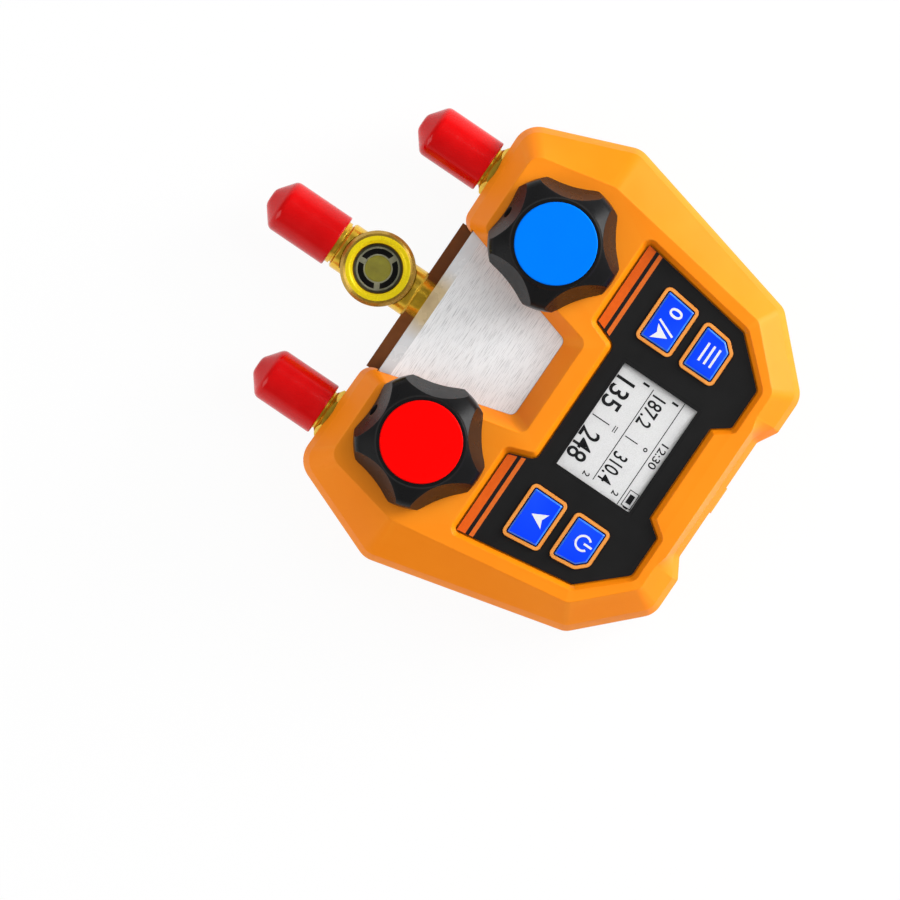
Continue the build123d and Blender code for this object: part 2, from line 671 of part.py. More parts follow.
def manifold_block():
    profile = [
        (BLOCK_TOP, BLOCK_BACK),
        (BLOCK_TOP, BLOCK_FRONT),
        (BLOCK_BOTTOM + BLOCK_BEVEL, BLOCK_FRONT),
        (BLOCK_BOTTOM, BLOCK_FRONT - BLOCK_BEVEL_DROP),
        (BLOCK_BOTTOM, BLOCK_BACK),
    ]
    face = make_face(Polyline(*[(0, y, z) for y, z in profile], close=True).edges())
    block = extrude(face, BLOCK_HALF, both=True)
    inner = BLOCK_BOTTOM + SHANK_LENGTH
    for x in (-PORT_X, 0, PORT_X):
        block -= lengthwise(x, PARTING_Z, BLOCK_BOTTOM, inner, SHANK_R + RUN)
        block -= lengthwise(x, PARTING_Z, BLOCK_BOTTOM, BLOCK_BOTTOM + SEAL_THICK + SLIP, SEAL_R)
    for side in (-1, 1):
        x = side * PORT_X
        block -= lengthwise(x, PARTING_Z, inner, BLOCK_TOP - SHANK_LENGTH, PASSAGE_R)
        block -= lengthwise(x, PARTING_Z, BLOCK_TOP - SHANK_LENGTH, BLOCK_TOP, SHANK_R + RUN)
        x = side * VALVE_X
        block -= upright(x, 0, VALVE_SEAT_Z, BLOCK_FRONT, VALVE_BORE_R)
        block -= upright(x, 0, GALLERY_Z, VALVE_SEAT_Z, ORIFICE_R)
        end = side * BLOCK_HALF
        plug_floor = side * (BLOCK_HALF - PLUG_LENGTH)
        block -= across(0, GALLERY_Z, min(end, plug_floor), max(end, plug_floor), PLUG_R + RUN)
    block -= lengthwise(0, PARTING_Z, inner, PASSAGE_R, PASSAGE_R)
    block -= across(0, GALLERY_Z, -BLOCK_HALF, BLOCK_HALF, GALLERY_R)
    block -= upright(0, 0, BLOCK_BACK, PARTING_Z, RISER_R)
    block -= upright(0, 0, BLOCK_BACK, BLOCK_BACK + PLUG_LENGTH, PLUG_R + RUN)
    depth = BLOCK_SCREW_HEAD + BLOCK_SCREW_LENGTH + CLEAR
    for x in (-BLOCK_SCREW_X, BLOCK_SCREW_X):
        for y in (-BLOCK_SCREW_Y, BLOCK_SCREW_Y):
            block -= upright(x, y, BLOCK_BACK, depth, BLOCK_SCREW_R + RUN)
    return block


def passage_plugs():
    plug = Cylinder(PLUG_R, PLUG_LENGTH)
    end = BLOCK_HALF - PLUG_LENGTH / 2
    sides = [Pos(side * end, 0, GALLERY_Z) * Rot(0, 90, 0) * plug for side in (-1, 1)]
    return sides + [Pos(0, 0, BLOCK_BACK + PLUG_LENGTH / 2) * plug]


def port_seals():
    seal = ring(SEAL_R - SLIP, SHANK_R + SLIP, -SEAL_THICK, 0)
    return [port_plane(x) * seal for x in (-PORT_X, 0, PORT_X)]


def flare_end(start):
    """Groove, collar, thread and cone of a flare port, about Z from the given height."""
    collar = start + GROOVE_LENGTH
    relief = collar + COLLAR_LENGTH
    thread = relief + RELIEF_LENGTH
    nose = thread + THREAD_LENGTH
    lead = 0.5
    return turned([
        (0, start, 0),
        (GROOVE_R, start, 0),
        (GROOVE_R, collar, 0),
        (COLLAR_R, collar, 0),
        (COLLAR_R, relief - lead, 0),
        (COLLAR_R - lead, relief, 0),
        (RELIEF_R, relief, 0),
        (RELIEF_R, thread, 0),
        (THREAD_R, thread, 0),
        (THREAD_R, nose, 0),
        (THREAD_R - NOSE_LENGTH, nose + NOSE_LENGTH, 0),
        (0, nose + NOSE_LENGTH, 0),
    ])


def port_fitting():
    """Hexagonal union with a flare end, seen along the port's axis."""
    body = hexagon(HEX_FLATS, 0, HEX_LENGTH, 1.6) + flare_end(HEX_LENGTH)
    body += upright(0, 0, -SHANK_LENGTH, 0, SHANK_R)
    return body - upright(0, 0, -SHANK_LENGTH, HEX_LENGTH + FLARE_LENGTH, PORT_BORE_R)


def port_body_centre():
    """Tube with the sight glass boss on its front side."""
    end = NECK_LENGTH + BODY_LENGTH
    edge = 0.6
    tube = turned([
        (0, 0, 0),
        (NECK_R, 0, 0),
        (NECK_R, NECK_LENGTH, 0),
        (BODY_R - edge, NECK_LENGTH, 0),
        (BODY_R, NECK_LENGTH + edge, 0),
        (BODY_R, end - edge, 0),
        (BODY_R - edge, end, 0),
        (0, end, 0),
    ])
    tube += flare_end(end) + upright(0, 0, -SHANK_LENGTH, 0, SHANK_R)
    body = port_plane(0) * tube
    body += upright(0, SIGHT_Y, PARTING_Z - BODY_R - BOSS_PROUD, BOSS_TOP_Z, BOSS_R)
    body -= port_plane(0) * upright(0, 0, -SHANK_LENGTH, end + FLARE_LENGTH, PORT_BORE_R)
    body -= upright(0, SIGHT_Y, PARTING_Z - PORT_BORE_R - BOSS_PROUD, BOSS_TOP_Z, SIGHT_CHAMBER_R)
    body -= upright(0, SIGHT_Y, spider_low(), BOSS_TOP_Z, SPIDER_R + SLIP)
    body -= upright(0, SIGHT_Y, BOSS_TOP_Z, BEZEL_TOP_Z, BEZEL_R + CLEAR)
    skirt = ring(BEZEL_R + CLEAR, BOSS_R, BOSS_TOP_Z - BEZEL_SKIRT - CLEAR, BOSS_TOP_Z)
    return body - sight_place(skirt)


def spider_low():
    return BOSS_TOP_Z - SEAL_RING_THICK - SPIDER_THICK


def sight_place(piece):
    return Pos(0, SIGHT_Y, 0) * piece


def sight_glass_bezel():
    """Screwed ring that holds the glass down on the boss."""
    low, edge = BOSS_TOP_Z - BEZEL_SKIRT, 1.0
    lip = BOSS_TOP_Z + LENS_THICK + SLIP
    return sight_place(turned([
        (BOSS_R + SLIP, low, 0),
        (BEZEL_R, low, 0),
        (BEZEL_R, BEZEL_TOP_Z - 2 * edge, 0.5),
        (BEZEL_R - edge, BEZEL_TOP_Z - edge / 2, 0.4),
        (BEZEL_R - 2 * edge, BEZEL_TOP_Z, 0.8),
        (GLASS_VIEW_R + edge, BEZEL_TOP_Z, 0.8),
        (GLASS_VIEW_R, BEZEL_TOP_Z - edge, 0.2),
        (GLASS_VIEW_R, lip, 0),
        (LENS_R + SLIP, lip, 0),
        (LENS_R + SLIP, BOSS_TOP_Z, 0),
        (BOSS_R + SLIP, BOSS_TOP_Z, 0),
    ]))


def sight_glass_lens():
    return sight_place(upright(0, 0, BOSS_TOP_Z, BOSS_TOP_Z + LENS_THICK, LENS_R))


def sight_glass_seal():
    return sight_place(ring(SPIDER_R, SPIDER_R - 0.7, BOSS_TOP_Z - SEAL_RING_THICK, BOSS_TOP_Z))


def sight_glass_spider():
    """Ring with three spokes that carry the cup of the moisture indicator."""
    low, high = spider_low(), spider_low() + SPIDER_THICK
    spider = ring(SPIDER_R, SPIDER_RIM_R, low, high)
    spider += upright(0, 0, low, high, SPIDER_HUB_R)
    for angle in SPOKE_ANGLES:
        reach = SPIDER_RIM_R + SLIP
        spoke = brick((SPIDER_HUB_R - SLIP, reach), (-SPOKE_WIDTH / 2, SPOKE_WIDTH / 2), (low, high))
        spider += Rot(0, 0, angle) * spoke
    return sight_place(spider - upright(0, 0, high - 0.6, high, SPIDER_HUB_R - 0.4))


def sight_glass_indicator():
    high = spider_low() + SPIDER_THICK
    return sight_place(upright(0, 0, high - 0.6, high - 0.1, SPIDER_HUB_R - 0.5))


def cap():
    """Push-on cap: straight sleeve, rounded shoulder and blunt cone."""
    inner, tip = COLLAR_R + CLEAR, CAP_LENGTH - CAP_END_WALL
    shoulder = CAP_LENGTH - CAP_CONE
    return turned([
        (inner, 0, 0.3),
        (CAP_R, 0, 0.5),
        (CAP_R, shoulder, 2.8),
        (CAP_TIP_R, CAP_LENGTH, 3.5),
        (0, CAP_LENGTH, 0),
        (0, tip, 0),
        (CAP_TIP_R, tip, 0),
        (inner, shoulder - 1.0, 1.0),
    ])


def pressure_sensor(side):
    """Sensor screwed into the block's top face, above the port."""
    top = SENSOR_HEX_LENGTH + SENSOR_LENGTH
    sensor = hexagon(SENSOR_FLATS, 0, SENSOR_HEX_LENGTH) + upright(0, 0, -SHANK_LENGTH, 0, SHANK_R)
    sensor += upright(0, 0, SENSOR_HEX_LENGTH, top, SENSOR_R) + upright(0, 0, top, top + 2.0, SHANK_R)
    sensor -= upright(0, 0, -SHANK_LENGTH, SENSOR_HEX_LENGTH, 1.5)
    frame = Plane(origin=(side * PORT_X, BLOCK_TOP, PARTING_Z), x_dir=(1, 0, 0), z_dir=(0, 1, 0))
    return frame * sensor


# Valves and knobs


def packing_nut(side):
    nut = hexagon(NUT_FLATS, BLOCK_FRONT, BLOCK_FRONT + NUT_HEIGHT, 1.2)
    nut += upright(0, 0, BLOCK_FRONT - NUT_DEPTH, BLOCK_FRONT, VALVE_BORE_R - SLIP)
    nut -= upright(0, 0, BLOCK_FRONT - NUT_DEPTH, BLOCK_FRONT + NUT_HEIGHT, STEM_R + RUN)
    groove = BLOCK_FRONT - NUT_DEPTH / 2
    return valve_place(side) * (nut - upright(0, 0, groove - 1.0, groove + 1.0, PACKING_R))


def stem_seal(side):
    height = BLOCK_FRONT - NUT_DEPTH / 2
    seal = Pos(0, 0, height) * Torus((STEM_R + PACKING_R) / 2, (PACKING_R - STEM_R) / 2 - RUN)
    return valve_place(side) * seal


def seat_top():
    return VALVE_SEAT_Z + SEAT_THICK


def seat(side):
    """Seat that swivels on the stem's tip, so it rises without turning."""
    disc = upright(0, 0, VALVE_SEAT_Z, seat_top(), SEAT_R)
    return valve_place(side) * (disc - upright(0, 0, seat_top() - 1.5, seat_top(), TIP_R + RUN))


def stem(side):
    shoulder = seat_top() + 1.5
    body = upright(0, 0, shoulder, KNOB_Z + KNOB_BORE_DEPTH - SLIP, STEM_R)
    body += upright(0, 0, seat_top() - 1.4, shoulder, TIP_R)
    flat = STEM_R - 0.4
    cut = brick((-STEM_R, STEM_R), (-STEM_R - 1, -flat), (KNOB_Z, KNOB_Z + KNOB_BORE_DEPTH))
    return valve_place(side) * (body - cut)


def knob_profile():
    """Knob before its scallops are cut: rim round the disc, sloping top and upright flank."""
    h = KNOB_HEIGHT
    return turned([
        (0, 0, 0),
        (KNOB_R - 0.8, 0, 0),
        (KNOB_R, 0.8, 0),
        (KNOB_R - 0.4, h - 6.5, 6.0),
        (KNOB_RIM_R + 0.6, h - 1.1, 0.8),
        (KNOB_RIM_R, h - 0.3, 0),
        (DISC_R + SLIP, h - 0.3, 0),
        (DISC_R + SLIP, h - DISC_THICK, 0),
        (0, h - DISC_THICK, 0),
    ])


def scallops():
    """Leaning cylinders that cut the hollows between the lobes, deepest at the top."""
    lean = math.degrees(math.atan2(SCALLOP_FOOT - SCALLOP_HEAD, SCALLOP_RISE))
    centre = SCALLOP_FOOT + SCALLOP_R / math.cos(math.radians(lean))
    tool = Pos(centre, 0, 0) * Rot(0, -lean, 0) * Cylinder(SCALLOP_R, 4 * KNOB_HEIGHT)
    return [Rot(0, 0, -90 + 360 * i / LOBES) * tool for i in range(LOBES)]


def knob(side):
    body = knob_profile()
    for cut in scallops():
        body -= cut
    body -= ring(KNOB_HOLLOW_R, KNOB_HUB_R, 0, KNOB_HOLLOW_DEPTH)
    body -= upright(0, 0, 0, KNOB_BORE_DEPTH, STEM_R + RUN)
    body -= lengthwise(0, SET_SCREW_Z, -KNOB_R, 0, SET_SCREW_R + SLIP)
    return valve_place(side) * Pos(0, 0, KNOB_Z) * body


def knob_disc(side):
    low = KNOB_Z + KNOB_HEIGHT - DISC_THICK
    disc = upright(0, 0, low, KNOB_Z + KNOB_HEIGHT, DISC_R)
    return valve_place(side) * chamfer(disc.edges().group_by(Axis.Z)[-1], 0.3)


def set_screw(side):
    start = STEM_R - 0.4 + RUN
    height = KNOB_Z + SET_SCREW_Z
    return valve_place(side) * lengthwise(0, height, -KNOB_HUB_R, -start, SET_SCREW_R)


# Hanging hook


def hanging_hook():
    """Bent wire: pivot bar, long side, end and short tip, lying flat in the pocket."""
    points = [
        (-KNUCKLE_HALF - 3.0, HOOK_Y, HOOK_Z),
        (HOOK_HALF, HOOK_Y, HOOK_Z),
        (HOOK_HALF, HOOK_Y - HOOK_REACH, HOOK_Z),
        (-HOOK_HALF, HOOK_Y - HOOK_REACH, HOOK_Z),
        (-HOOK_HALF, HOOK_Y - HOOK_TIP_GAP, HOOK_Z),
    ]
    path = FilletPolyline(*points, radius=[2.5 * WIRE_R, HOOK_BEND_R, HOOK_BEND_R])
    start = Plane(origin=path @ 0, z_dir=path % 0)
    return sweep(start * Circle(WIRE_R), path=path)


# Files


def save(name, shape):
    """Write one sub-part, or a group of alike pieces, to its own file."""
    solids = [s for piece in (shape if isinstance(shape, list) else [shape]) for s in piece.solids()]
    export_step(solids[0] if len(solids) == 1 else Compound(children=solids), f"parts/{name}.step")


pieces = {
    "front_cover": front_cover(),
    "rear_cover": rear_cover(),
    "case_screws": case_screws(),
    "block_screws": block_screws(),
    "faceplate": faceplate(),
    "display_window": display_window(),
    "display_module": display_module(),
    "key_mat_left": key_mat(-1),
    "key_mat_right": key_mat(1),
    "circuit_board": circuit_board(),
    "board_screws": board_screws(),
    "battery_1": battery(CELL_Y - CELL_PITCH / 2),
    "battery_2": battery(CELL_Y + CELL_PITCH / 2),
    "battery_contacts": battery_contacts(),
    "battery_door": battery_door(),
    "battery_door_screw": battery_door_screw(),
    "manifold_block": manifold_block(),
    "passage_plugs": passage_plugs(),
    "port_seals": port_seals(),
    "port_body_centre": port_body_centre(),
    "sight_glass_bezel": sight_glass_bezel(),
    "sight_glass_lens": sight_glass_lens(),
    "sight_glass_seal": sight_glass_seal(),
    "sight_glass_spider": sight_glass_spider(),
    "sight_glass_indicator": sight_glass_indicator(),
    "cap_centre": port_plane(0) * Pos(0, 0, CENTRE_CAP_START) * cap(),
    "hanging_hook": hanging_hook(),
}
for place, rim in RIMS:
    pieces[f"key_{place}"] = key(rim)
for name, side in SIDES:
    pieces[f"port_fitting_{name}"] = port_plane(side * PORT_X) * port_fitting()
    pieces[f"cap_{name}"] = port_plane(side * PORT_X) * Pos(0, 0, SIDE_CAP_START) * cap()
    pieces[f"pressure_sensor_{name}"] = pressure_sensor(side)
    pieces[f"packing_nut_{name}"] = packing_nut(side)
    pieces[f"stem_seal_{name}"] = stem_seal(side)
    pieces[f"seat_{name}"] = seat(side)
    pieces[f"stem_{name}"] = stem(side)
    pieces[f"knob_{name}"] = knob(side)
    pieces[f"knob_disc_{name}"] = knob_disc(side)
    pieces[f"set_screw_{name}"] = set_screw(side)

for name, shape in pieces.items():
    save(name, shape)
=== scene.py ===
import json
import math

import bmesh
import bpy
from mathutils import Matrix, Vector

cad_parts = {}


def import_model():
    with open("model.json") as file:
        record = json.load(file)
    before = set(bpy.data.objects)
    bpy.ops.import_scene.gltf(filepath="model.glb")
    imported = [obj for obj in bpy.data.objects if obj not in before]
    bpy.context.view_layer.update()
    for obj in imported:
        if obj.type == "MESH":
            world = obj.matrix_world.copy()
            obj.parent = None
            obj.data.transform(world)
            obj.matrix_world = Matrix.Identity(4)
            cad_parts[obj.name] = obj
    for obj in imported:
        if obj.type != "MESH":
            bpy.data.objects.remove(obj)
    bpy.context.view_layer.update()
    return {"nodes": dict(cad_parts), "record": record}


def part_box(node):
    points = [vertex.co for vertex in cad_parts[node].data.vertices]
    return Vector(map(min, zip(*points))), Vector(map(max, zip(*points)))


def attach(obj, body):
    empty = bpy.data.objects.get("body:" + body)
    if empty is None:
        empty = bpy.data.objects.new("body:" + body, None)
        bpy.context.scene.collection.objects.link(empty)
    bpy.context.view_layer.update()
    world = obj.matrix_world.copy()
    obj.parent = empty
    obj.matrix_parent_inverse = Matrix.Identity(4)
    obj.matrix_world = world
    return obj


# Looks of a two-valve manifold gauge that lies on its back. Blender's lengths are in metres, in the
# frame of the solids: +Z out of the face, +X to the device's right, -Y towards the ports. Places on
# the object are written in millimetres.

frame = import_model()
MM = 0.001

# Framing: the camera looks straight down on the face, with the device turned in the picture
PHOTO_SIDE = 900  # pixels
PIXELS_PER_MM = 3.0
VIEW_CENTRE = (36.6 * MM, 9.4 * MM)
VIEW_RIGHT = Vector((-0.562, 0.827, 0)).normalized()
VIEW_DISTANCE = 4.5
VIEW_CLIP = (0.1, 20)
SENSOR = 36
FACE_Z = 38 * MM  # plane of the keys and knobs, at which the picture has its scale

# Light: even fill, brightness of the sky in gloss from low down to overhead, and the floor
FILL = 0.48
HORIZON = 1.0
HORIZON_Z = 0.10
ZENITH = 0.15
ZENITH_Z = 0.50
FLOOR_WHITE = 0.94
FLOOR_COLOUR = (0.93, 0.93, 0.93)
FLOOR_SIZE = 6.0
FLOOR_GAP = 0.3 * MM
LAMPS = {  # place in metres, side of the square and watts
    "key": ((-0.80, 0.64, 1.23), 1.0, 8.0),
    "low_key": ((-1.35, 1.03, 0.52), 0.9, 36.0),
    "back_fill": ((1.10, -0.90, 0.90), 1.0, 7.5),
}

# Heights and places on the object, in millimetres
PLATE_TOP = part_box("faceplate")[1].z / MM
DISPLAY_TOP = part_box("display_module")[1].z / MM
KEY_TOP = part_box("key_upper_left")[1].z / MM
RIM_OVER = 36.9  # just over the orange frames round the keys
RIMS_X = (28, 52)
RIMS_Y = (38, 71)
LIP_HALF = 28.9  # lower lip of the rear cover, between the arms
LIP_Y = (-31, -25.6)
SIGHT_Y = -44.6  # axis of the sight glass and its chamber
CHAMBER_R = 8.25
CHAMBER_LOW = 11.0
CHAMBER_TOP = 24.0
LENS_SEAT_R = (6.95, 8.4)
BEZEL_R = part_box("sight_glass_bezel")[1].x / MM
BEZEL_EDGE = 1.6
PRINT_THICK = 0.04
DISPLAY = (-20.3, 41.3, 20.3, 70.5)
PANE_EDGE = 1.05  # black border of the pane

# Normals, by which faces are told apart: part along Z unless said
LOOKS_UP = 0.5
LOOKS_DOWN = -0.5
BEZEL_FLAT = 0.93  # from here on, the bezel's flat face
CUT_ALONG_Y = (-0.7, -0.1)  # part along Y on the cut at the block's foot
KEY_ROUNDING = (0.2, 0.95)
HEAD_DOWN = -0.95  # up to here, the flat end of a screw head in the back


# Materials


RUBBED = (0.52, 0.60)  # pointiness over which an edge goes from whole to rubbed


class Nodes:
    """A material's node tree, with short calls for the nodes that the materials share."""

    def __init__(self, name):
        self.material = bpy.data.materials.new(name)
        self.material.use_nodes = True
        self.tree = self.material.node_tree
        self.shader = self.tree.nodes["Principled BSDF"]
        self.place = self.add("ShaderNodeTexCoord").outputs["Object"]

    def add(self, kind, **values):
        node = self.tree.nodes.new(kind)
        for key, value in values.items():
            setattr(node, key, value)
        return node

    def link(self, start, end):
        self.tree.links.new(start, end)

    def set(self, **values):
        for key, value in values.items():
            self.shader.inputs[key.replace("_", " ")].default_value = value

    def stretched(self, x, y, z):
        """Object coordinates scaled by a different amount along each axis."""
        mapping = self.add("ShaderNodeMapping")
        mapping.inputs["Scale"].default_value = (x, y, z)
        self.link(self.place, mapping.inputs["Vector"])
        return mapping.outputs["Vector"]

    def noise(self, scale, detail=4.0, rough=0.55, place=None):
        node = self.add("ShaderNodeTexNoise")
        node.inputs["Scale"].default_value = scale
        node.inputs["Detail"].default_value = detail
        node.inputs["Roughness"].default_value = rough
        self.link(place or self.place, node.inputs["Vector"])
        return node.outputs["Fac"]

    def span(self, value, low, high, start=0.3, end=0.7):
        """Maps the stretch start to end of a value onto low to high."""
        node = self.add("ShaderNodeMapRange")
        limits = {"From Min": start, "From Max": end, "To Min": low, "To Max": high}
        for key, number in limits.items():
            node.inputs[key].default_value = number
        self.link(value, node.inputs["Value"])
        return node.outputs["Result"]

    def mix(self, factor, first, second):
        """Colour between two, each a colour or a socket."""
        node = self.add("ShaderNodeMix", data_type="RGBA")
        self.link(factor, node.inputs[0])
        for socket, value in ((node.inputs[6], first), (node.inputs[7], second)):
            if isinstance(value, bpy.types.NodeSocket):
                self.link(value, socket)
            else:
                socket.default_value = (*value, 1)
        return node.outputs[2]

    def colour(self, value):
        self.link(value, self.shader.inputs["Base Color"])

    def clouded(self, scale, detail, dark, base):
        """Colour that wanders between two."""
        return self.mix(self.span(self.noise(scale, detail), 0, 1), dark, base)

    def rough(self, scale, detail, low, high):
        """Roughness that wanders between two values."""
        self.link(self.span(self.noise(scale, detail), low, high), self.shader.inputs["Roughness"])

    def rough_from(self, value, low, high):
        """Roughness that follows a value."""
        self.link(self.span(value, low, high), self.shader.inputs["Roughness"])

    def bump(self, value, height):
        """Adds a bump of a height in millimetres, over any that the shader already has."""
        node = self.add("ShaderNodeBump")
        node.inputs["Distance"].default_value = height * MM
        self.link(value, node.inputs["Height"])
        before = self.shader.inputs["Normal"]
        if before.is_linked:
            self.link(before.links[0].from_socket, node.inputs["Normal"])
        self.link(node.outputs["Normal"], before)

    def soft_edges(self, radius):
        """Normals rounded over edges by a radius in millimetres; called before any bump."""
        node = self.add("ShaderNodeBevel", samples=6)
        node.inputs["Radius"].default_value = radius * MM
        self.link(node.outputs["Normal"], self.shader.inputs["Normal"])

    def worn(self, base, light, amount=0.35):
        """Base colour with paler, rubbed edges."""
        edge = self.add("ShaderNodeNewGeometry").outputs["Pointiness"]
        return self.mix(self.span(edge, 0, amount, *RUBBED), base, light)


def plastic(name, dark, base, light, rough, grain, height, specular, edge=0.4):
    """Moulded plastic: slight clouding, fine grain, wandering roughness and paler rubbed edges."""
    n = Nodes(name)
    n.colour(n.worn(n.clouded(35, 3, dark, base), light))
    n.rough(140, 5, *rough)
    n.soft_edges(edge)
    n.bump(n.noise(grain, 2), height)
    n.set(Specular_IOR_Level=specular)
    return n.material


def flat_print(name, first, second):
    """Printed ink: faint mottling, fine texture and a soft gloss."""
    n = Nodes(name)
    n.colour(n.clouded(900, 4, first, second))
    n.rough(300, 3, 0.4, 0.5)
    n.bump(n.noise(3000, 2), 0.004)
    n.set(Specular_IOR_Level=0.2)
    return n.material


def disc(name, dark, base, light):
    """Smooth coloured insert of a knob."""
    n = Nodes(name)
    n.colour(n.worn(n.clouded(60, 3, dark, base), light))
    n.rough(200, 4, 0.26, 0.34)
    n.soft_edges(0.3)
    n.bump(n.noise(1200, 2), 0.006)
    n.set(Specular_IOR_Level=0.02)
    return n.material


def cap_red():
    """Soft vinyl: glossy, with a faint unevenness that bends its highlights."""
    n = Nodes("cap_red")
    n.colour(n.clouded(80, 4, (0.60, 0.001, 0.002), (0.68, 0.001, 0.002)))
    n.rough(160, 4, 0.14, 0.22)
    n.bump(n.noise(120, 3), 0.04)
    n.bump(n.noise(1500, 2), 0.006)
    n.set(Specular_IOR_Level=0.28)
    return n.material


def turned_metal(name, dark, base, light, rough, rings, tarnish=220, rubbed=0.3, metal=1.0):
    """Machined bar: fine tool rings across its axis, slight tarnish and bright edges."""
    n = Nodes(name)
    n.colour(n.worn(n.clouded(tarnish, 6, dark, base), light, rubbed))
    n.rough(400, 4, *rough)
    n.soft_edges(0.2)
    n.bump(n.noise(1.0, 3, 0.6, n.stretched(*rings)), 0.008)
    n.set(Metallic=metal)
    return n.material


def steel(name, rings):
    return turned_metal(name, (0.42, 0.42, 0.43), (0.60, 0.60, 0.61), (0.85, 0.85, 0.86),
                        (0.2, 0.34), rings)


def bezel_brass():
    """Turned ring round Z with a clean satin face."""
    n = Nodes("bezel_brass")
    n.colour(n.clouded(60, 4, (0.96, 0.70, 0.006), (1.0, 0.79, 0.010)))
    n.rough(300, 4, 0.24, 0.32)
    n.soft_edges(0.3)
    n.bump(n.noise(1.0, 2, 0.5, n.stretched(40, 40, 3000)), 0.003)
    n.set(Metallic=0.22, Specular_IOR_Level=0.2)
    return n.material


def block_aluminium():
    """Flat milled face brushed along X: short fine scratches in colour, gloss and relief."""
    n = Nodes("block_aluminium")
    fine = n.noise(1.0, 5, 0.62, n.stretched(170, 4000, 4000))
    broad = n.noise(1.0, 3, 0.5, n.stretched(90, 900, 900))
    tone = n.mix(n.span(broad, 0, 1), (0.95, 0.96, 0.97), (0.98, 0.99, 1.0))
    n.colour(n.mix(n.span(fine, 0, 1, 0.36, 0.50), (0.62, 0.63, 0.64), tone))
    n.rough_from(fine, 0.36, 0.48)
    n.soft_edges(0.3)
    n.bump(fine, 0.006)
    n.set(Metallic=0.05)
    return n.material


def block_bevel():
    """Smooth bright cut along the block's foot, with a painted warm reflection of the brass round
    the middle port.
    """
    n = Nodes("block_bevel")
    split = n.add("ShaderNodeSeparateXYZ")
    n.link(n.place, split.inputs[0])
    side = n.add("ShaderNodeMath", operation="ABSOLUTE")
    n.link(split.outputs["X"], side.inputs[0])
    # warm patch round the middle port: a painted reflection of its brass
    reflection_share = n.span(side.outputs[0], 0.85, 0, 6.0 * MM, 13.5 * MM)
    cloud = n.noise(1.0, 3, 0.5, n.stretched(160, 160, 160))
    painted_reflection = n.mix(n.span(cloud, 0, 1), (0.52, 0.35, 0.13), (0.68, 0.49, 0.21))
    clean = n.mix(n.span(cloud, 0, 1), (0.80, 0.80, 0.81), (0.88, 0.88, 0.89))
    n.colour(n.mix(reflection_share, clean, painted_reflection))
    n.rough_from(cloud, 0.22, 0.30)
    n.soft_edges(0.3)
    n.bump(n.noise(1.0, 3, 0.5, n.stretched(60, 2400, 2400)), 0.003)
    n.set(Metallic=0.1)
    return n.material


def display_grey():
    """Reflective back of a liquid crystal display, with its fine grain."""
    n = Nodes("display_grey")
    n.colour(n.clouded(2200, 2, (0.52, 0.52, 0.52), (0.57, 0.57, 0.57)))
    n.rough(500, 3, 0.5, 0.6)
    n.set(Specular_IOR_Level=0.2)
    return n.material


def clear(name, tint, ior):
    """Clear plastic or glass with a barely wandering tint and polish."""
    n = Nodes(name)
    n.colour(n.clouded(50, 2, tint, tuple(min(1.0, c * 1.02) for c in tint)))
    n.rough(90, 3, 0.0, 0.02)
    n.set(Transmission_Weight=1.0, IOR=ior)
    return n.material


def plain(name, dark, base, rough, scale=300, height=0.01, metal=0.0):
    """Small or hidden pieces: clouded colour, wandering roughness and a fine bump."""
    n = Nodes(name)
    n.colour(n.clouded(scale, 4, dark, base))
    n.rough(scale * 2, 4, rough - 0.06, rough + 0.06)
    n.bump(n.noise(scale * 4, 3), height)
    n.set(Metallic=metal)
    return n.material


# Moulded plastics: dark, base and rubbed colour, roughness, grain and its height, gloss
PLASTICS = {
    "casing_orange": ((0.97, 0.245, 0.002), (1.0, 0.270, 0.003), (1.0, 0.36, 0.02),
                      (0.36, 0.44), 2600, 0.010, 0.2, 0.6),
    "rim_orange": ((0.76, 0.225, 0.022), (0.84, 0.265, 0.030), (1.0, 0.48, 0.12),
                   (0.36, 0.44), 2600, 0.010, 0.3),
    "plate_black": ((0.0060, 0.0060, 0.0064), (0.0080, 0.0080, 0.0084), (0.015, 0.015, 0.015),
                    (0.42, 0.52), 2200, 0.008, 0.2),
    "knob_black": ((0.005, 0.005, 0.0055), (0.008, 0.008, 0.0085), (0.02, 0.02, 0.02),
                   (0.24, 0.34), 1800, 0.010, 0.10),
    "key_blue": ((0.0, 0.038, 0.92), (0.0, 0.042, 1.0), (0.03, 0.16, 1.0),
                 (0.34, 0.42), 2400, 0.008, 0.05),
}

# Small or hidden pieces: dark and base colour, roughness, and what departs from the usual
PLAIN = {
    # lighter blue for the keys' rounded edges: a painted sheen
    "key_edge_painted_sheen": ((0.01, 0.14, 0.95), (0.03, 0.24, 1.0), 0.35),
    "key_rubber": ((0.18, 0.18, 0.18), (0.25, 0.25, 0.25), 0.6),
    "board_green": ((0.010, 0.10, 0.03), (0.02, 0.16, 0.05), 0.35),
    # flat dark crosses on the screw heads stand in for their recesses: painted shade
    "recess_painted_shade": ((0.012, 0.012, 0.013), (0.03, 0.03, 0.032), 0.5),
    "cell_sleeve": ((0.02, 0.02, 0.022), (0.04, 0.04, 0.045), 0.3),
    "spider_metal": ((0.36, 0.35, 0.24), (0.50, 0.49, 0.34), 0.35, 260, 0.02, 0.2),
    # near black inside the sight glass chamber: painted shade
    "chamber_painted_shade": ((0.012, 0.007, 0.004), (0.03, 0.016, 0.008), 0.5),
    "indicator_olive": ((0.26, 0.23, 0.015), (0.42, 0.38, 0.03), 0.6, 140),
    "seal_black": ((0.012, 0.012, 0.012), (0.02, 0.02, 0.02), 0.5),
    "gasket_olive": ((0.14, 0.13, 0.07), (0.22, 0.21, 0.12), 0.5),
    # darker brown for the rear cover's lower lip: painted shade from the block above it
    "lip_painted_shade": ((0.22, 0.070, 0.008), (0.28, 0.090, 0.012), 0.5),
    "seat_white": ((0.78, 0.78, 0.74), (0.86, 0.86, 0.83), 0.4),
}

